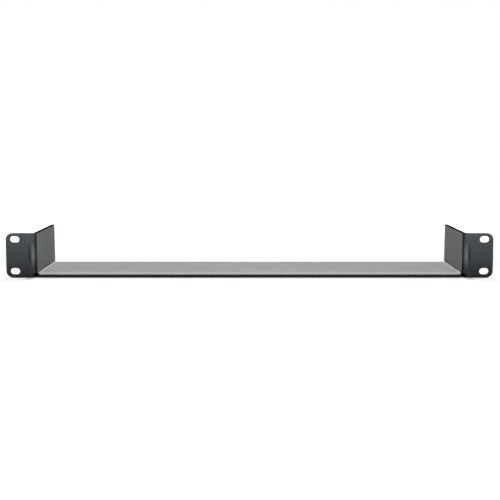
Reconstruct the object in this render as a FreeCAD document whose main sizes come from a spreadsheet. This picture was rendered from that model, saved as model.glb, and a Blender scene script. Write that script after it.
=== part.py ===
import FreeCAD, Part
import math
import os
import Sketcher

# A 1U rack shelf folded from one sheet: a floor, two side walls and two ears with mounting slots.
# X runs across the rack, Y from the front to the back, Z up. The right half is built with the front of
# the ears at Y = 0, mirrored, and set so that the origin is under the middle of the whole shelf.

NODE = "rack_shelf"

# Driving sizes in millimetres: name, value, meaning.
SIZES = (
    ("panel_width", 482.6, "across both ears"),
    ("panel_height", 44.0, "ears and side walls, bottom to top"),
    ("depth", 103.0, "front of the ears to the rear edge"),
    ("sheet_thickness", 3.0, "one sheet throughout"),
    ("ear_width", 29.8, "outer edge of an ear to the inside of its wall"),
    ("ear_bend_radius", 3.0, "inside radius between ear and wall"),
    ("ear_corner_radius", 6.0, "outer corners of the ears"),
    ("slot_length", 9.525, "mounting slot, along X"),
    ("slot_height", 6.35, "mounting slot, along Z"),
    ("slot_from_side", 8.75, "outer edge of an ear to the slot centres"),
    ("slot_from_end", 6.125, "top or bottom of an ear to the nearer slot centre"),
    ("slot_chamfer", 0.3, "rims of the slots"),
    ("floor_bend_radius", 1.0, "inside radius between floor and wall"),
    ("wall_corner_radius", 1.5, "rear top corners of the walls"),
    ("lip_clearance", 1.0, "floor bend to the side of the floor's front lip"),
    ("relief_setback", 1.0, "end of the ear bend to the bend relief"),
    ("relief_width", 1.5, "bend relief slot, along Y"),
    ("relief_rise", 1.0, "bend relief slot, above the floor bend"),
    ("edge_radius", 0.4, "rounding of the cut edges"),
)

# Places worked out from the driving sizes.
PANEL_EDGE = "Sizes.panel_width / 2"
WALL_INSIDE = f"{PANEL_EDGE} - Sizes.ear_width"
LIP_EDGE = f"{WALL_INSIDE} - Sizes.floor_bend_radius - Sizes.lip_clearance"
RELIEF_FRONT = "Sizes.sheet_thickness + Sizes.ear_bend_radius + Sizes.relief_setback"
RELIEF_BACK = f"{RELIEF_FRONT} + Sizes.relief_width"
RELIEF_TOP = "Sizes.sheet_thickness + Sizes.floor_bend_radius + Sizes.relief_rise"
SLOT_CENTRE_X = f"{PANEL_EDGE} - Sizes.slot_from_side"
SLOT_CENTRE_Z = "Sizes.slot_from_end"
SLOT_SPACING_UP = "Sizes.panel_height - 2 * Sizes.slot_from_end"

# Sketcher's numbers for the points of an element and for the sketch's own origin and axes.
START, END, CENTRE = range(1, 4)
HORIZONTAL_AXIS, VERTICAL_AXIS = range(-1, -3, -1)
ORIGIN = (HORIZONTAL_AXIS, START)

SLOTS_PER_EAR = 2
PLACE_TOLERANCE = 0.001
SMALLEST_CUT = 0.001
SHARP_EDGE_DEGREES = 20.0


def make_sheet(doc):
    sheet = doc.addObject("Spreadsheet::Sheet", "Sizes")
    for row, (alias, value, meaning) in enumerate(SIZES, start=1):
        sheet.set(f"A{row}", alias)
        sheet.set(f"B{row}", str(value))
        sheet.set(f"C{row}", meaning)
        sheet.setAlias(f"B{row}", alias)
    doc.recompute()
    return sheet


def origin_feature(body, role):
    return next(item for item in body.Origin.OriginFeatures if item.Role == role)


class Profile:
    """A closed outline in a sketch, drawn at its true place and then tied to the sheet."""

    def __init__(self, body, name, plane_role, offset=None):
        self.sketch = body.newObject("Sketcher::SketchObject", name)
        self.sketch.AttachmentSupport = [(origin_feature(body, plane_role), "")]
        self.sketch.MapMode = "FlatFace"
        if offset:
            self.sketch.setExpression("AttachmentOffset.Base.z", offset)

    def line(self, start, end):
        segment = Part.LineSegment(FreeCAD.Vector(*start, 0), FreeCAD.Vector(*end, 0))
        return self.sketch.addGeometry(segment)

    def arc(self, centre, radius, start_quarter, end_quarter):
        """An arc between two quarter turns, counted anticlockwise from the horizontal axis."""
        quarter = math.pi / 2
        circle = Part.Circle(FreeCAD.Vector(*centre, 0), FreeCAD.Vector(0, 0, 1), radius)
        curve = Part.ArcOfCircle(circle, start_quarter * quarter, end_quarter * quarter)
        return self.sketch.addGeometry(curve)

    def rule(self, kind, *references):
        self.sketch.addConstraint(Sketcher.Constraint(kind, *references))

    def size(self, kind, references, expression):
        value = float(self.sketch.evalExpression(expression))
        index = self.sketch.addConstraint(Sketcher.Constraint(kind, *references, value))
        self.sketch.setExpression(f"Constraints[{index}]", expression)


def value_of(sheet, expression):
    return float(sheet.evalExpression(expression))


def draw_channel(body, sheet):
    """Half the section of the tray: floor, floor bend and side wall, at the back of the bend relief."""
    profile = Profile(body, "ChannelSection", "XZ_Plane", offset=f"-({RELIEF_BACK})")
    inside = value_of(sheet, WALL_INSIDE)
    outside = inside + sheet.sheet_thickness
    bend_start = inside - sheet.floor_bend_radius
    bend_top = sheet.sheet_thickness + sheet.floor_bend_radius
    bend_centre = (bend_start, bend_top)

    under = profile.line((0, 0), (bend_start, 0))
    outer_bend = profile.arc(bend_centre, bend_top, 3, 4)
    outer_wall = profile.line((outside, bend_top), (outside, sheet.panel_height))
    wall_top = profile.line((outside, sheet.panel_height), (inside, sheet.panel_height))
    inner_wall = profile.line((inside, sheet.panel_height), (inside, bend_top))
    inner_bend = profile.arc(bend_centre, sheet.floor_bend_radius, 3, 4)
    floor = profile.line((bend_start, sheet.sheet_thickness), (0, sheet.sheet_thickness))
    middle = profile.line((0, sheet.sheet_thickness), (0, 0))

    profile.rule("Coincident", under, START, *ORIGIN)
    profile.rule("Horizontal", under)
    profile.rule("Tangent", under, END, outer_bend, START)
    profile.rule("Tangent", outer_bend, END, outer_wall, START)
    profile.rule("Vertical", outer_wall)
    profile.rule("Coincident", outer_wall, END, wall_top, START)
    profile.rule("Horizontal", wall_top)
    profile.rule("Coincident", wall_top, END, inner_wall, START)
    profile.rule("Vertical", inner_wall)
    profile.rule("Tangent", inner_wall, END, inner_bend, END)
    profile.rule("Tangent", inner_bend, START, floor, START)
    profile.rule("Horizontal", floor)
    profile.rule("Coincident", floor, END, middle, START)
    profile.rule("Coincident", middle, END, under, START)
    profile.rule("Vertical", middle)
    profile.rule("Coincident", outer_bend, CENTRE, inner_bend, CENTRE)
    profile.size("DistanceX", (*ORIGIN, inner_wall, START), WALL_INSIDE)
    profile.size("DistanceY", (*ORIGIN, wall_top, START), "Sizes.panel_height")
    profile.size("DistanceY", (middle, END, middle, START), "Sizes.sheet_thickness")
    profile.size("Radius", (inner_bend,), "Sizes.floor_bend_radius")
    return profile.sketch


def draw_lip(body, sheet):
    """The floor's front lip, flush with the front of the ears and clear of the walls."""
    profile = Profile(body, "LipOutline", "XY_Plane")
    edge = value_of(sheet, LIP_EDGE)
    back = value_of(sheet, RELIEF_BACK)

    front_line = profile.line((0, 0), (edge, 0))
    side_line = profile.line((edge, 0), (edge, back))
    back_line = profile.line((edge, back), (0, back))
    middle_line = profile.line((0, back), (0, 0))

    profile.rule("Coincident", front_line, START, *ORIGIN)
    profile.rule("Horizontal", front_line)
    profile.rule("Coincident", front_line, END, side_line, START)
    profile.rule("Vertical", side_line)
    profile.rule("Coincident", side_line, END, back_line, START)
    profile.rule("Horizontal", back_line)
    profile.rule("Coincident", back_line, END, middle_line, START)
    profile.rule("Coincident", middle_line, END, front_line, START)
    profile.rule("PointOnObject", middle_line, START, VERTICAL_AXIS)
    profile.size("DistanceX", (*ORIGIN, side_line, START), LIP_EDGE)
    profile.size("DistanceY", (*ORIGIN, side_line, END), RELIEF_BACK)
    return profile.sketch


def draw_ear(body, sheet):
    """The ear seen from above: the front of the wall, the ear bend and the flat ear."""
    profile = Profile(body, "EarOutline", "XY_Plane")
    inside = value_of(sheet, WALL_INSIDE)
    outside = inside + sheet.sheet_thickness
    edge = value_of(sheet, PANEL_EDGE)
    back = value_of(sheet, RELIEF_BACK)
    outer_radius = sheet.sheet_thickness + sheet.ear_bend_radius
    bend_centre = (inside + outer_radius, outer_radius)

    inner_wall = profile.line((inside, back), (inside, outer_radius))
    front_bend = profile.arc(bend_centre, outer_radius, 2, 3)
    ear_front = profile.line((inside + outer_radius, 0), (edge, 0))
    ear_edge = profile.line((edge, 0), (edge, sheet.sheet_thickness))
    ear_back = profile.line((edge, sheet.sheet_thickness), (inside + outer_radius, sheet.sheet_thickness))
    back_bend = profile.arc(bend_centre, sheet.ear_bend_radius, 2, 3)
    outer_wall = profile.line((outside, outer_radius), (outside, back))
    wall_end = profile.line((outside, back), (inside, back))

    profile.rule("Tangent", inner_wall, END, front_bend, START)
    profile.rule("Tangent", front_bend, END, ear_front, START)
    profile.rule("Horizontal", ear_front)
    profile.rule("Coincident", ear_front, END, ear_edge, START)
    profile.rule("Vertical", ear_edge)
    profile.rule("Coincident", ear_edge, END, ear_back, START)
    profile.rule("Horizontal", ear_back)
    profile.rule("Tangent", ear_back, END, back_bend, END)
    profile.rule("Tangent", back_bend, START, outer_wall, START)
    profile.rule("Vertical", outer_wall)
    profile.rule("Coincident", outer_wall, END, wall_end, START)
    profile.rule("Horizontal", wall_end)
    profile.rule("Coincident", wall_end, END, inner_wall, START)
    profile.rule("Vertical", inner_wall)
    profile.rule("Coincident", front_bend, CENTRE, back_bend, CENTRE)
    profile.rule("PointOnObject", ear_front, END, HORIZONTAL_AXIS)
    profile.size("DistanceX", (*ORIGIN, inner_wall, START), WALL_INSIDE)
    profile.size("DistanceX", (*ORIGIN, ear_front, END), PANEL_EDGE)
    profile.size("DistanceY", (*ORIGIN, wall_end, START), RELIEF_BACK)
    profile.size("DistanceY", (ear_edge, START, ear_edge, END), "Sizes.sheet_thickness")
    profile.size("Radius", (back_bend,), "Sizes.ear_bend_radius")
    return profile.sketch


def draw_relief(body, sheet):
    """The round-topped relief slot that frees the ear bend from the floor bend, on the wall's inside face."""
    profile = Profile(body, "ReliefOutline", "YZ_Plane", offset=WALL_INSIDE)
    front = value_of(sheet, RELIEF_FRONT)
    back = value_of(sheet, RELIEF_BACK)
    radius = sheet.relief_width / 2
    spring = value_of(sheet, RELIEF_TOP) - radius

    foot = profile.line((front, 0), (back, 0))
    back_side = profile.line((back, 0), (back, spring))
    top = profile.arc((front + radius, spring), radius, 0, 2)
    front_side = profile.line((front, spring), (front, 0))

    profile.rule("Coincident", foot, END, back_side, START)
    profile.rule("Vertical", back_side)
    profile.rule("Tangent", back_side, END, top, START)
    profile.rule("Tangent", top, END, front_side, START)
    profile.rule("Vertical", front_side)
    profile.rule("Coincident", front_side, END, foot, START)
    profile.rule("PointOnObject", foot, START, HORIZONTAL_AXIS)
    profile.rule("PointOnObject", foot, END, HORIZONTAL_AXIS)
    profile.size("DistanceX", (*ORIGIN, foot, START), RELIEF_FRONT)
    profile.size("Radius", (top,), "Sizes.relief_width / 2")
    profile.size("DistanceY", (*ORIGIN, top, CENTRE), f"{RELIEF_TOP} - Sizes.relief_width / 2")
    return profile.sketch


def draw_slot(body, sheet):
    """The lower mounting slot, on the front of the ear."""
    profile = Profile(body, "SlotOutline", "XZ_Plane")
    centre_x = value_of(sheet, SLOT_CENTRE_X)
    centre_z = value_of(sheet, SLOT_CENTRE_Z)
    radius = sheet.slot_height / 2
    reach = (sheet.slot_length - sheet.slot_height) / 2
    low = centre_z - radius
    high = centre_z + radius

    bottom = profile.line((centre_x - reach, low), (centre_x + reach, low))
    right_end = profile.arc((centre_x + reach, centre_z), radius, 3, 5)
    top = profile.line((centre_x + reach, high), (centre_x - reach, high))
    left_end = profile.arc((centre_x - reach, centre_z), radius, 1, 3)

    profile.rule("Tangent", bottom, END, right_end, START)
    profile.rule("Tangent", right_end, END, top, START)
    profile.rule("Tangent", top, END, left_end, START)
    profile.rule("Tangent", left_end, END, bottom, START)
    profile.rule("Horizontal", bottom)
    profile.rule("Horizontal", top)
    profile.size("Radius", (right_end,), "Sizes.slot_height / 2")
    profile.size("DistanceX", (left_end, CENTRE, right_end, CENTRE), "Sizes.slot_length - Sizes.slot_height")
    profile.size(
        "DistanceX",
        (*ORIGIN, left_end, CENTRE),
        f"{SLOT_CENTRE_X} - (Sizes.slot_length - Sizes.slot_height) / 2",
    )
    profile.size("DistanceY", (*ORIGIN, left_end, CENTRE), SLOT_CENTRE_Z)
    return profile.sketch


def add_pad(body, name, sketch, length, reverse=False):
    pad = body.newObject("PartDesign::Pad", name)
    pad.Profile = sketch
    pad.Reversed = reverse
    pad.setExpression("Length", length)
    body.Document.recompute()


def add_pocket(body, name, sketch, length, reverse=False):
    """A cut of the given length, which must take material away."""
    volume_before = body.Tip.Shape.Volume
    pocket = body.newObject("PartDesign::Pocket", name)
    pocket.Profile = sketch
    pocket.Reversed = reverse
    pocket.setExpression("Length", length)
    body.Document.recompute()
    if volume_before - pocket.Shape.Volume < SMALLEST_CUT:
        raise RuntimeError(f"{name} cuts nothing")
    return pocket


def dress_edges(body, kind, name, wanted, size_name, size):
    """Rounds or chamfers each edge of the body that the function wanted picks out."""
    base = body.Tip
    names = [f"Edge{n}" for n, edge in enumerate(base.Shape.Edges, start=1) if wanted(base.Shape, edge)]
    if not names:
        raise RuntimeError(f"{name} finds no edge")
    feature = body.newObject(kind, name)
    feature.Base = (base, names)
    feature.setExpression(size_name, size)
    body.Document.recompute()


def round_edges(body, name, wanted, radius):
    dress_edges(body, "PartDesign::Fillet", name, wanted, "Radius", radius)


def chamfer_edges(body, name, wanted, size):
    dress_edges(body, "PartDesign::Chamfer", name, wanted, "Size", size)


def near(first, second):
    return abs(first - second) < PLACE_TOLERANCE


def lies_on(edge, axis, place):
    """True where both ends of the edge have this place along the axis."""
    return all(near(getattr(vertex.Point, axis), place) for vertex in edge.Vertexes)


def lies_within(edge, axis, middle, reach):
    """True where both ends of the edge are at most this far from the middle, along the axis."""
    return all(
        abs(getattr(vertex.Point, axis) - middle) < reach + PLACE_TOLERANCE for vertex in edge.Vertexes
    )


def is_sharp(shape, edge):
    """True where the two faces beside the edge meet at an angle, away from the middle of the shelf."""
    if lies_on(edge, "x", 0):
        return False
    middle = edge.valueAt((edge.FirstParameter + edge.LastParameter) / 2)
    normals = []
    for face in shape.ancestorsOfType(edge, Part.Face):
        u, v = face.Surface.parameter(middle)
        normals.append(face.normalAt(u, v))
    if len(normals) != 2:
        return False
    return math.degrees(normals[0].getAngle(normals[1])) > SHARP_EDGE_DEGREES


def build_shelf(doc, sheet):
    body = doc.addObject("PartDesign::Body", "Shelf")
    body.Label = NODE
    panel_edge = value_of(sheet, PANEL_EDGE)
    slot_x = value_of(sheet, SLOT_CENTRE_X)
    slot_heights = (sheet.slot_from_end, sheet.panel_height - sheet.slot_from_end)

    def at_ear_corner(shape, edge):
        ends = (0, sheet.panel_height)
        return lies_on(edge, "x", panel_edge) and any(lies_on(edge, "z", end) for end in ends)

    def at_wall_corner(shape, edge):
        return lies_on(edge, "y", sheet.depth) and lies_on(edge, "z", sheet.panel_height)

    def at_slot_rim(shape, edge):
        on_face = lies_on(edge, "y", 0) or lies_on(edge, "y", sheet.sheet_thickness)
        beside = lies_within(edge, "x", slot_x, sheet.slot_length / 2)
        return on_face and beside and any(
            lies_within(edge, "z", height, sheet.slot_height / 2) for height in slot_heights
        )

    # The folded sheet with its bend relief.
    add_pad(body, "Channel", draw_channel(body, sheet), f"Sizes.depth - ({RELIEF_BACK})", reverse=True)
    add_pad(body, "FrontLip", draw_lip(body, sheet), "Sizes.sheet_thickness")
    add_pad(body, "Ear", draw_ear(body, sheet), "Sizes.panel_height")
    add_pocket(body, "BendRelief", draw_relief(body, sheet), "Sizes.sheet_thickness", reverse=True)

    # Rounded corners and cut edges.
    round_edges(body, "EarCorners", at_ear_corner, "Sizes.ear_corner_radius")
    round_edges(body, "WallCorners", at_wall_corner, "Sizes.wall_corner_radius")
    round_edges(body, "CutEdges", is_sharp, "Sizes.edge_radius")

    # The two slots of the ear.
    slot = add_pocket(body, "Slot", draw_slot(body, sheet), "Sizes.sheet_thickness")
    slots = body.newObject("PartDesign::LinearPattern", "SlotPair")
    slots.Originals = [slot]
    slots.Direction = (origin_feature(body, "Z_Axis"), [""])
    slots.setExpression("Length", SLOT_SPACING_UP)
    slots.Occurrences = SLOTS_PER_EAR
    body.Tip = slots
    doc.recompute()
    chamfer_edges(body, "SlotRims", at_slot_rim, "Sizes.slot_chamfer")

    # The left half, and the shelf's place about its origin.
    whole = body.newObject("PartDesign::Mirrored", "BothHalves")
    whole.TransformMode = "Whole shape"
    whole.MirrorPlane = (origin_feature(body, "YZ_Plane"), [""])
    body.Tip = whole
    body.setExpression("Placement.Base.y", "-Sizes.depth / 2")
    doc.recompute()
    return body


def check(doc, body):
    for item in doc.Objects:
        if "Invalid" in item.State or "Error" in item.State:
            raise RuntimeError(f"{item.Name} failed: {item.State}")
        if item.isDerivedFrom("Sketcher::SketchObject") and not item.FullyConstrained:
            raise RuntimeError(f"{item.Name} is not fully constrained")
    if body.Shape.isNull() or not body.Shape.isValid():
        raise RuntimeError(f"{body.Label} has no valid shape")
    if len(body.Shape.Solids) != 1:
        raise RuntimeError(f"{body.Label} is not one solid")


def main():
    doc = FreeCAD.newDocument("RackShelf")
    shelf = build_shelf(doc, make_sheet(doc))
    check(doc, shelf)
    os.makedirs("parts", exist_ok=True)
    shelf.Shape.exportStep(f"parts/{shelf.Label}.step")


main()
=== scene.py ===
import math
from collections import namedtuple

import bpy
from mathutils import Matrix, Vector


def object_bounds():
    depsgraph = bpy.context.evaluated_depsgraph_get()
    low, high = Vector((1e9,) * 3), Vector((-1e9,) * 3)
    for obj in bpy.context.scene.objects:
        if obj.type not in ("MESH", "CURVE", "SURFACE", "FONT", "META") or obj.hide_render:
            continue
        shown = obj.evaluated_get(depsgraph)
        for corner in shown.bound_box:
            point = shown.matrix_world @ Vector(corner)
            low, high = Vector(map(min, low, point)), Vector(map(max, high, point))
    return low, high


# A matt charcoal rack shelf on a pale studio stage.
# Lengths are in metres in the CAD model's frame: X across the rack, Y to the back, Z up.

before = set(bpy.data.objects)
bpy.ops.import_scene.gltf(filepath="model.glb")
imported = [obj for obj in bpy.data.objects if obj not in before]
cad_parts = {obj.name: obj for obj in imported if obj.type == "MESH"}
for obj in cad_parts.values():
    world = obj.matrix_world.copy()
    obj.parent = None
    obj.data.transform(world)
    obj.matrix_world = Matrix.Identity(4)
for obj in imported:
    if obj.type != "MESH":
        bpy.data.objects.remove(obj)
cad_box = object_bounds()

NODE = "rack_shelf"
MM = 0.001
WHITE = (1.0, 1.0, 1.0, 1.0)

# Camera: place, tilt below the horizon, lens and sensor in millimetres, and shift of the picture.
CAMERA_PLACE = (0.0, -1.0965, 0.1448)
CAMERA_TILT = math.radians(6.41)
CAMERA_LENS = 76.5
CAMERA_SENSOR = 36.0
CAMERA_SHIFT_X = 0.0008

# Sizes of the folded sheet, as the CAD model has them.
SHEET = 3.0 * MM
EAR_WIDTH = 29.8 * MM
EAR_BEND = 3.0 * MM
EAR_CORNER = 6.0 * MM
FLOOR_BEND = 1.0 * MM
LIP_CLEARANCE = 1.0 * MM
RELIEF_SETBACK = 1.0 * MM
EDGE_RADIUS = 0.4 * MM

# Places of the sheet's faces, worked out from those sizes and the model's box.
HALF_WIDTH, REAR, TOP = cad_box[1]
FRONT = cad_box[0][1]
WALL_INSIDE = HALF_WIDTH - EAR_WIDTH
WALL_OUTSIDE = WALL_INSIDE + SHEET
FLOOR_TOP = SHEET
FLOOR_SIDE = WALL_INSIDE - FLOOR_BEND
WALL_FOOT = FLOOR_TOP + FLOOR_BEND
LIP_SIDE = FLOOR_SIDE - LIP_CLEARANCE
EAR_BACK = FRONT + SHEET
EAR_FLAT = WALL_OUTSIDE + EAR_BEND
EAR_FOOT = HALF_WIDTH - EAR_CORNER
RELIEF_FRONT = EAR_BACK + EAR_BEND + RELIEF_SETBACK

# How squarely a face points along Y: on the rear cut edge more than the first value, and on the ears'
# cut edges less than the second.
REAR_FACING = 0.95
EAR_EDGE_FACING = 0.65

# Finishes: a matt charcoal coat with a thin satin film. The inside corners are painted lighter, a painted
# highlight, the front lip and the other cut edges are darker, and these have no film.
COAT_COLOUR = (0.121, 0.13, 0.136)
CORNER_HIGHLIGHT_COLOUR = (0.195, 0.209, 0.218)
LIP_COLOUR = (0.055, 0.055, 0.058)
EDGE_COLOUR = (0.005, 0.005, 0.0055)
FILM_WEIGHT = 0.06
FILM_ROUGHNESS = 0.3
BODY_ROUGHNESS = 0.8
MOTTLE_SCALE = 30.0
MOTTLE_DETAIL = 3.0
TONE_SWING = 0.05
GLOSS_SWING = 0.08
GRAIN_SCALE = 900.0
GRAIN_DETAIL = 2.0
GRAIN_STRENGTH = 0.15
GRAIN_HEIGHT = 0.05 * MM

# Painted light and shade on the coat, and a dark rim. A mark's tone multiplies the coat's colour.
# On each ear's bend: a painted highlight on the crest at half its height, where the bend has turned by
# CREST_TURN from the front to the inside, a painted shade line where it runs into the ear, and a painted
# shade band where it runs into the wall.
CREST_TURN = math.radians(36.0)
CREST_FACING = 0.93
CREST_BLUR = 0.05
CREST_MIDDLE = TOP / 2
CREST_REACH = 16.0 * MM
CREST_HIGHLIGHT_TONE = 2.15
LINE_PLACE = EAR_FLAT + 0.3 * MM
LINE_REACH = 2.0 * MM
LINE_SHADE_TONE = 0.5
WALL_SIDE_SHADE_PLACE = EAR_BACK + 0.6 * MM
WALL_SIDE_SHADE_REACH = 3.6 * MM
WALL_SIDE_SHADE_FACING = 0.5
WALL_SIDE_SHADE_TONE = 0.15

# On each ear's foot: painted shade, darker towards the bottom right across it, and deeper painted shade
# at the foot of the bend.
FOOT_TOP = 13.0 * MM
FOOT_BLUR = 6.0 * MM
FOOT_SHADE_TONE = 0.72
BEND_FOOT_SHADE_TOP = 4.0 * MM
BEND_FOOT_SHADE_SIDE = EAR_FLAT - 1.5 * MM
BEND_FOOT_SHADE_BLUR = 1.5 * MM
BEND_FOOT_SHADE_TONE = 0.25

# On the tray: painted shade in the crease at the foot of each wall, a painted highlight along the front
# of the floor, and a dark rim along the top of each wall.
CREASE_REACH = 2.0 * MM
CREASE_SHADE_TONE = 0.65
SILL_DEPTH = 19.0 * MM
SILL_BLUR = 6.0 * MM
SILL_HIGHLIGHT_TONE = 1.24
RIM_DEPTH = 0.8 * MM
RIM_BLUR = 0.1 * MM
RIM_TONE = 0.1

# The stage: a pale floor with a glow of its own, which makes it white to the eye. The glow is weaker
# near the shelf, most of all behind it, and beneath the shelf the stage's colour is painted dark, a
# painted shadow.
STAGE_SIZE = 30.0
STAGE_DROP = 0.1 * MM
STAGE_COLOUR = (0.236, 0.25, 0.262)
GLOW_FRONT = 0.7
GLOW_BACK = 0.34
GLOW_FAR = 1.0
NEAR_RADIUS = 0.5
NEAR_BLUR = 0.25
UNDER_SHADOW_TONE = 0.1
UNDER_BLUR = 0.5 * MM

# The shade that the tray and the ears cast round their footprints: its reach in front and behind, the
# share of that reach at the sides, and the glow that is left in it. A footprint is its half width, its
# rear edge and the reach of its shade.
TRAY_SHADE = 14.0 * MM
EAR_SHADE = 4.0 * MM
SHADE_SIDE = 0.35
SHADE_GLOW = 0.15
FOOTPRINTS = ((WALL_OUTSIDE, REAR, TRAY_SHADE), (EAR_FOOT, EAR_BACK, EAR_SHADE))

# Light: the world's strength, and the lamps with name, place, target, width, height, power in watts and
# colour.
WORLD_LIGHT = 0.03
CENTRE = (0.0, 0.0, 0.02)
WARM = (1.075, 1.0, 0.94)
COOL = (0.92, 1.0, 1.07)
SOFTBOXES = (
    ("back", (0.0, 1.1, 1.1), CENTRE, 0.5, 0.5, 58.5, WARM),
    ("top", (0.0, 0.25, 1.3), CENTRE, 0.5, 0.5, 13.0, WARM),
    ("side_left", (-1.5, 0.0, 0.28), CENTRE, 0.6, 0.2, 3.6, WARM),
    ("side_right", (1.5, 0.0, 0.28), CENTRE, 0.6, 0.2, 3.6, WARM),
    ("strip", (0.0, -0.08, 0.078), (0.0, -0.05, 0.044), 0.6, 0.02, 0.114, COOL),
)

# A place in a node tree: its X, and how far it lies to the side, to the back and up.
Spot = namedtuple("Spot", "across side back up")


class Nodes:
    """Short calls for building a node tree."""

    def __init__(self, tree):
        self.tree = tree
        tree.nodes.clear()

    def add(self, kind, **settings):
        node = self.tree.nodes.new(kind)
        for name, value in settings.items():
            setattr(node, name, value)
        return node

    def feed(self, socket, source):
        """Gives a socket a plain value, or links it to another node's output."""
        if isinstance(source, bpy.types.NodeSocket):
            self.tree.links.new(source, socket)
        else:
            socket.default_value = source

    def show(self, shader, output="ShaderNodeOutputMaterial"):
        """Ends the tree with the shader that is seen."""
        self.feed(self.add(output).inputs["Surface"], shader.outputs[0])

    def split(self, vector):
        """The X, Y and Z of a vector."""
        node = self.add("ShaderNodeSeparateXYZ")
        self.feed(node.inputs[0], vector)
        return node.outputs["X"], node.outputs["Y"], node.outputs["Z"]

    def spot(self, point):
        across, back, up = self.split(point)
        return Spot(across, self.math("ABSOLUTE", across), back, up)

    def math(self, operation, first, second=None):
        node = self.add("ShaderNodeMath", operation=operation)
        self.feed(node.inputs[0], first)
        if second is not None:
            self.feed(node.inputs[1], second)
        return node.outputs[0]

    def chain(self, operation, values):
        """Runs one operation through a row of values."""
        result, *others = values
        for value in others:
            result = self.math(operation, result, value)
        return result

    def product(self, *factors):
        return self.chain("MULTIPLY", factors)

    def largest(self, *values):
        return self.chain("MAXIMUM", values)

    def more(self, value, limit):
        return self.math("GREATER_THAN", value, limit)

    def less(self, value, limit):
        return self.math("LESS_THAN", value, limit)

    def between(self, value, low, high):
        return self.product(self.more(value, low), self.less(value, high))

    def above(self, value, limit, blur):
        """Rises smoothly from 0 to 1 as the value passes the limit."""
        node = self.add("ShaderNodeMapRange", interpolation_type="SMOOTHSTEP")
        self.feed(node.inputs["Value"], value)
        node.inputs["From Min"].default_value = limit - blur
        node.inputs["From Max"].default_value = limit + blur
        return node.outputs["Result"]

    def below(self, value, limit, blur):
        """Falls smoothly from 1 to 0 as the value passes the limit."""
        return self.math("SUBTRACT", 1.0, self.above(value, limit, blur))

    def bell(self, value, middle, reach):
        """1 at the middle, falling smoothly to 0 at the reach on either side."""
        away = self.math("ABSOLUTE", self.math("SUBTRACT", value, middle))
        return self.below(away, reach / 2, reach / 2)

    def spread(self, value, low, high):
        """Maps a value from 0 to 1 onto low to high."""
        node = self.add("ShaderNodeMapRange")
        self.feed(node.inputs["Value"], value)
        self.feed(node.inputs["To Min"], low)
        self.feed(node.inputs["To Max"], high)
        return node.outputs["Result"]

    def noise(self, place, scale, detail):
        node = self.add("ShaderNodeTexNoise")
        self.feed(node.inputs["Vector"], place)
        node.inputs["Scale"].default_value = scale
        node.inputs["Detail"].default_value = detail
        return node.outputs["Fac"]

    def tone(self, colour, factor):
        """The colour, made lighter or darker by a varying factor."""
        node = self.add("ShaderNodeVectorMath", operation="SCALE")
        node.inputs[0].default_value = colour
        self.feed(node.inputs["Scale"], factor)
        return node.outputs[0]


def face_spot(nodes):
    """The place of a face's middle."""
    return nodes.spot(nodes.add("GeometryNodeInputPosition").outputs[0])


def inside_corners(nodes):
    """True for the faces in the bend between the floor and a side wall."""
    spot = face_spot(nodes)
    across_bend = nodes.between(spot.side, FLOOR_SIDE, WALL_INSIDE)
    return nodes.product(across_bend, nodes.between(spot.up, FLOOR_TOP, WALL_FOOT))


def front_lip(nodes):
    """True for the faces on the front edge of the floor."""
    spot = face_spot(nodes)
    return nodes.product(nodes.less(spot.back, FRONT + EDGE_RADIUS), nodes.less(spot.side, LIP_SIDE))


def cut_edges(nodes):
    """True for the faces on the other cut edges of the sheet."""
    spot = face_spot(nodes)
    _, normal_back, _ = nodes.split(nodes.add("GeometryNodeInputNormal").outputs[0])
    facing = nodes.math("ABSOLUTE", normal_back)

    tops = nodes.more(spot.up, TOP - EDGE_RADIUS)
    rear = nodes.product(nodes.more(spot.back, REAR - EDGE_RADIUS), nodes.more(facing, REAR_FACING))
    ears = nodes.product(nodes.more(spot.side, EAR_FLAT), nodes.less(facing, EAR_EDGE_FACING))
    ear_part = nodes.product(nodes.more(spot.side, WALL_INSIDE), nodes.less(spot.back, RELIEF_FRONT))
    feet = nodes.product(ear_part, nodes.less(spot.up, EDGE_RADIUS))
    return nodes.largest(tops, rear, ears, feet)


def give_finish(shelf, selection, material):
    """Gives the selected faces of the sheet a finish of their own."""
    tree = bpy.data.node_groups.new(material.name, "GeometryNodeTree")
    for direction in ("INPUT", "OUTPUT"):
        tree.interface.new_socket("Geometry", in_out=direction, socket_type="NodeSocketGeometry")
    nodes = Nodes(tree)
    given = nodes.add("NodeGroupInput")
    marked = nodes.add("GeometryNodeSetMaterial")
    made = nodes.add("NodeGroupOutput")
    nodes.feed(marked.inputs["Geometry"], given.outputs[0])
    nodes.feed(marked.inputs["Selection"], selection(nodes))
    marked.inputs["Material"].default_value = material
    nodes.feed(made.inputs[0], marked.outputs[0])
    shelf.modifiers.new(material.name, "NODES").node_group = tree


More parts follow.
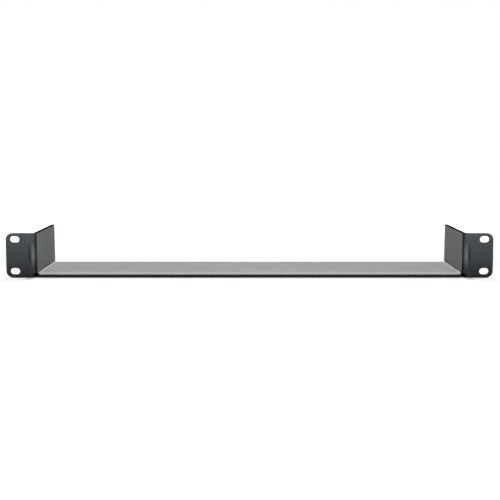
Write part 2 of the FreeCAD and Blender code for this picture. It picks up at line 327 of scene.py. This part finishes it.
def bend_painted_light(nodes, spot):
    """Masks and tones on each ear's bend: the crest's painted highlight, and painted shade in the line
    beside it and where it meets the wall.
    """
    normal_across, normal_back, _ = nodes.split(nodes.add("ShaderNodeNewGeometry").outputs["Normal"])
    inward = nodes.product(normal_across, nodes.math("SIGN", spot.across), -1.0)
    to_inside = nodes.product(inward, math.sin(CREST_TURN))
    to_front = nodes.product(normal_back, -math.cos(CREST_TURN))
    turned = nodes.math("ADD", to_inside, to_front)
    bend = nodes.between(spot.side, WALL_INSIDE - EDGE_RADIUS, EAR_FLAT)
    height = nodes.bell(spot.up, CREST_MIDDLE, CREST_REACH)
    front = nodes.less(spot.back, EAR_BACK - EDGE_RADIUS)

    # Painted highlight on the bend's crest, at half its height.
    crest = nodes.product(bend, nodes.above(turned, CREST_FACING, CREST_BLUR), height)
    # Painted shade in a line where the bend runs into the ear.
    line = nodes.product(front, nodes.bell(spot.side, LINE_PLACE, LINE_REACH), height)
    # Painted shade in a band where the bend runs into the wall.
    inner_face = nodes.product(bend, nodes.more(inward, WALL_SIDE_SHADE_FACING))
    wall_side_shade = nodes.product(inner_face, nodes.bell(spot.back, WALL_SIDE_SHADE_PLACE, WALL_SIDE_SHADE_REACH))
    return [(crest, CREST_HIGHLIGHT_TONE), (line, LINE_SHADE_TONE), (wall_side_shade, WALL_SIDE_SHADE_TONE)]


def foot_painted_shade(nodes, spot):
    """Masks and tones on each ear's foot: painted shade across it, darker towards the bottom, and deeper
    at the foot of the bend.
    """
    past_wall = nodes.more(spot.side, WALL_INSIDE - EDGE_RADIUS)
    ear = nodes.product(past_wall, nodes.less(spot.back, RELIEF_FRONT))
    # Painted shade across the ear's foot, darker towards the bottom.
    foot = nodes.product(ear, nodes.below(spot.up, FOOT_TOP, FOOT_BLUR))
    # Deeper painted shade at the foot of the bend, where it meets the floor.
    bend_foot_side = nodes.below(spot.side, BEND_FOOT_SHADE_SIDE, BEND_FOOT_SHADE_BLUR)
    bend_foot_shade = nodes.product(ear, bend_foot_side, nodes.below(spot.up, BEND_FOOT_SHADE_TOP, BEND_FOOT_SHADE_BLUR))
    return [(foot, FOOT_SHADE_TONE), (bend_foot_shade, BEND_FOOT_SHADE_TONE)]


def tray_shade_and_rims(nodes, spot):
    """Masks and tones on the tray: painted shade in the walls' creases, the walls' dark rims, and a
    painted highlight on the floor's sill.
    """
    behind_ears = nodes.more(spot.back, RELIEF_FRONT)
    wall_face = nodes.between(spot.side, WALL_INSIDE - EDGE_RADIUS, WALL_INSIDE + EDGE_RADIUS)
    floor_face = nodes.between(spot.up, FLOOR_TOP - EDGE_RADIUS, FLOOR_TOP + EDGE_RADIUS)

    # Painted shade in the crease at the wall's foot.
    crease = nodes.product(behind_ears, wall_face, nodes.bell(spot.up, WALL_FOOT, CREASE_REACH))
    # Painted highlight along the front of the floor.
    sill_depth = nodes.below(spot.back, FRONT + SILL_DEPTH, SILL_BLUR)
    sill = nodes.product(floor_face, nodes.less(spot.side, FLOOR_SIDE), sill_depth)
    rim = nodes.product(behind_ears, nodes.above(spot.up, TOP - RIM_DEPTH, RIM_BLUR))
    return [(crease, CREASE_SHADE_TONE), (sill, SILL_HIGHLIGHT_TONE), (rim, RIM_TONE)]


def painted_light_and_rims(nodes, place):
    """How the coat's tone changes with its painted highlights and painted shade, and its dark rims."""
    spot = nodes.spot(place)
    marks = bend_painted_light(nodes, spot) + foot_painted_shade(nodes, spot) + tray_shade_and_rims(nodes, spot)
    return nodes.product(*(nodes.spread(mask, 1.0, tone) for mask, tone in marks))


def new_material(name):
    material = bpy.data.materials.new(name)
    material.use_nodes = True
    return material, Nodes(material.node_tree)


def painted(name, colour, film=0.0, with_painted_light=False):
    """A painted surface: a fine grain in relief, and a faint mottle in its tone and gloss."""
    material, nodes = new_material(name)
    place = nodes.add("ShaderNodeTexCoord").outputs["Object"]
    mottle = nodes.noise(place, MOTTLE_SCALE, MOTTLE_DETAIL)
    bump = nodes.add("ShaderNodeBump")
    bump.inputs["Strength"].default_value = GRAIN_STRENGTH
    bump.inputs["Distance"].default_value = GRAIN_HEIGHT
    nodes.feed(bump.inputs["Height"], nodes.noise(place, GRAIN_SCALE, GRAIN_DETAIL))

    tone = nodes.spread(mottle, 1.0 - TONE_SWING, 1.0 + TONE_SWING)
    if with_painted_light:
        tone = nodes.product(tone, painted_light_and_rims(nodes, place))
    roughness = nodes.spread(mottle, BODY_ROUGHNESS + GLOSS_SWING, BODY_ROUGHNESS - GLOSS_SWING)
    shader = nodes.add("ShaderNodeBsdfPrincipled")
    nodes.feed(shader.inputs["Base Color"], nodes.tone(colour, tone))
    nodes.feed(shader.inputs["Roughness"], roughness)
    for socket in ("Normal", "Coat Normal"):
        nodes.feed(shader.inputs[socket], bump.outputs["Normal"])
    shader.inputs["Specular IOR Level"].default_value = 0.0
    shader.inputs["Coat Weight"].default_value = film
    shader.inputs["Coat Roughness"].default_value = FILM_ROUGHNESS
    nodes.show(shader)
    return material


def dress_shelf(shelf):
    """Gives the sheet its coat, and its corners (painted lighter, a painted highlight), its lip and its
    cut edges their own finishes.
    """
    materials = shelf.data.materials
    materials.clear()
    materials.append(painted("powder_coat", COAT_COLOUR, FILM_WEIGHT, with_painted_light=True))
    for name, colour, selection in (
        # The inside corners' lighter colour is a painted highlight.
        ("inside_corner_highlight", CORNER_HIGHLIGHT_COLOUR, inside_corners),
        ("front_lip", LIP_COLOUR, front_lip),
        ("cut_edge", EDGE_COLOUR, cut_edges),
    ):
        finish = painted(name, colour)
        materials.append(finish)
        give_finish(shelf, selection, finish)


def seen_directly(nodes):
    """1 for rays from the camera, a reflection or a clear surface, and 0 for soft light."""
    path = nodes.add("ShaderNodeLightPath")
    rays = (path.outputs[name] for name in ("Is Camera Ray", "Is Glossy Ray", "Is Transmission Ray"))
    return nodes.largest(*rays)


def contact_shades(nodes, spot):
    """How bright the stage is round the shelf's footprints, and beneath them: a painted shadow."""
    clear = []
    open_air = []
    for half_width, rear, reach in FOOTPRINTS:
        beside = nodes.math("DIVIDE", nodes.math("SUBTRACT", spot.side, half_width), SHADE_SIDE)
        ahead = nodes.math("SUBTRACT", FRONT, spot.back)
        behind = nodes.math("SUBTRACT", spot.back, rear)
        away = nodes.largest(beside, ahead, behind)
        clear.append(nodes.above(away, reach, reach))
        open_air.append(nodes.above(away, -UNDER_BLUR, UNDER_BLUR))
    # A painted shadow round the footprints, and a darker painted shadow beneath them.
    shade = nodes.spread(nodes.product(*clear), SHADE_GLOW, 1.0)
    under_shadow = nodes.spread(nodes.product(*open_air), UNDER_SHADOW_TONE, 1.0)
    return shade, under_shadow


def stage_glow(nodes, ground, spot):
    """How much the stage glows: more in front of the shelf than behind it, and most far away."""
    length = nodes.add("ShaderNodeVectorMath", operation="LENGTH")
    nodes.feed(length.inputs[0], ground)
    far = nodes.above(length.outputs["Value"], NEAR_RADIUS, NEAR_BLUR)
    near = nodes.spread(nodes.above(spot.back, 0.0, REAR), GLOW_FRONT, GLOW_BACK)
    return nodes.spread(far, near, GLOW_FAR)


def stage_material():
    material, nodes = new_material("stage_pale")
    ground = nodes.add("ShaderNodeTexCoord").outputs["Object"]
    spot = nodes.spot(ground)
    shade, under_shadow = contact_shades(nodes, spot)
    matt = nodes.add("ShaderNodeBsdfDiffuse")
    # The stage's colour is darker beneath the shelf: a painted shadow.
    nodes.feed(matt.inputs["Color"], nodes.tone(STAGE_COLOUR, under_shadow))
    glow = nodes.add("ShaderNodeEmission")
    strength = nodes.product(seen_directly(nodes), shade, under_shadow, stage_glow(nodes, ground, spot))
    nodes.feed(glow.inputs["Strength"], strength)
    total = nodes.add("ShaderNodeAddShader")
    nodes.feed(total.inputs[0], matt.outputs[0])
    nodes.feed(total.inputs[1], glow.outputs[0])
    nodes.show(total)
    return material


def add_stage():
    half = STAGE_SIZE / 2
    outline = ((-half, -half), (half, -half), (half, half), (-half, half))
    mesh = bpy.data.meshes.new("stage_floor")
    mesh.from_pydata([(x, y, -STAGE_DROP) for x, y in outline], [], [(0, 1, 2, 3)])
    mesh.materials.append(stage_material())
    floor = bpy.data.objects.new("stage_floor", mesh)
    bpy.context.scene.collection.objects.link(floor)


def add_world():
    world = bpy.data.worlds.new("studio")
    world.use_nodes = True
    bpy.context.scene.world = world
    nodes = Nodes(world.node_tree)
    background = nodes.add("ShaderNodeBackground")
    background.inputs["Color"].default_value = WHITE
    nodes.feed(background.inputs["Strength"], nodes.spread(seen_directly(nodes), WORLD_LIGHT, 1.0))
    nodes.show(background, "ShaderNodeOutputWorld")


def add_softbox(name, place, target, width, height, power, colour):
    data = bpy.data.lights.new(name, "AREA")
    data.shape = "RECTANGLE"
    data.size = width
    data.size_y = height
    data.energy = power
    data.color = colour
    lamp = bpy.data.objects.new(name, data)
    lamp.location = place
    lamp.rotation_euler = (Vector(target) - Vector(place)).to_track_quat("-Z", "Y").to_euler()
    lamp.visible_camera = False
    bpy.context.scene.collection.objects.link(lamp)


def add_camera():
    data = bpy.data.cameras.new("camera")
    data.lens = CAMERA_LENS
    data.sensor_width = CAMERA_SENSOR
    data.shift_x = CAMERA_SHIFT_X
    camera = bpy.data.objects.new("camera", data)
    camera.location = CAMERA_PLACE
    camera.rotation_euler = (math.pi / 2 - CAMERA_TILT, 0.0, 0.0)
    bpy.context.scene.collection.objects.link(camera)
    bpy.context.scene.camera = camera


dress_shelf(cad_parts[NODE])
add_stage()
add_world()
for softbox in SOFTBOXES:
    add_softbox(*softbox)
add_camera()
bpy.context.scene.view_settings.view_transform = "Standard"
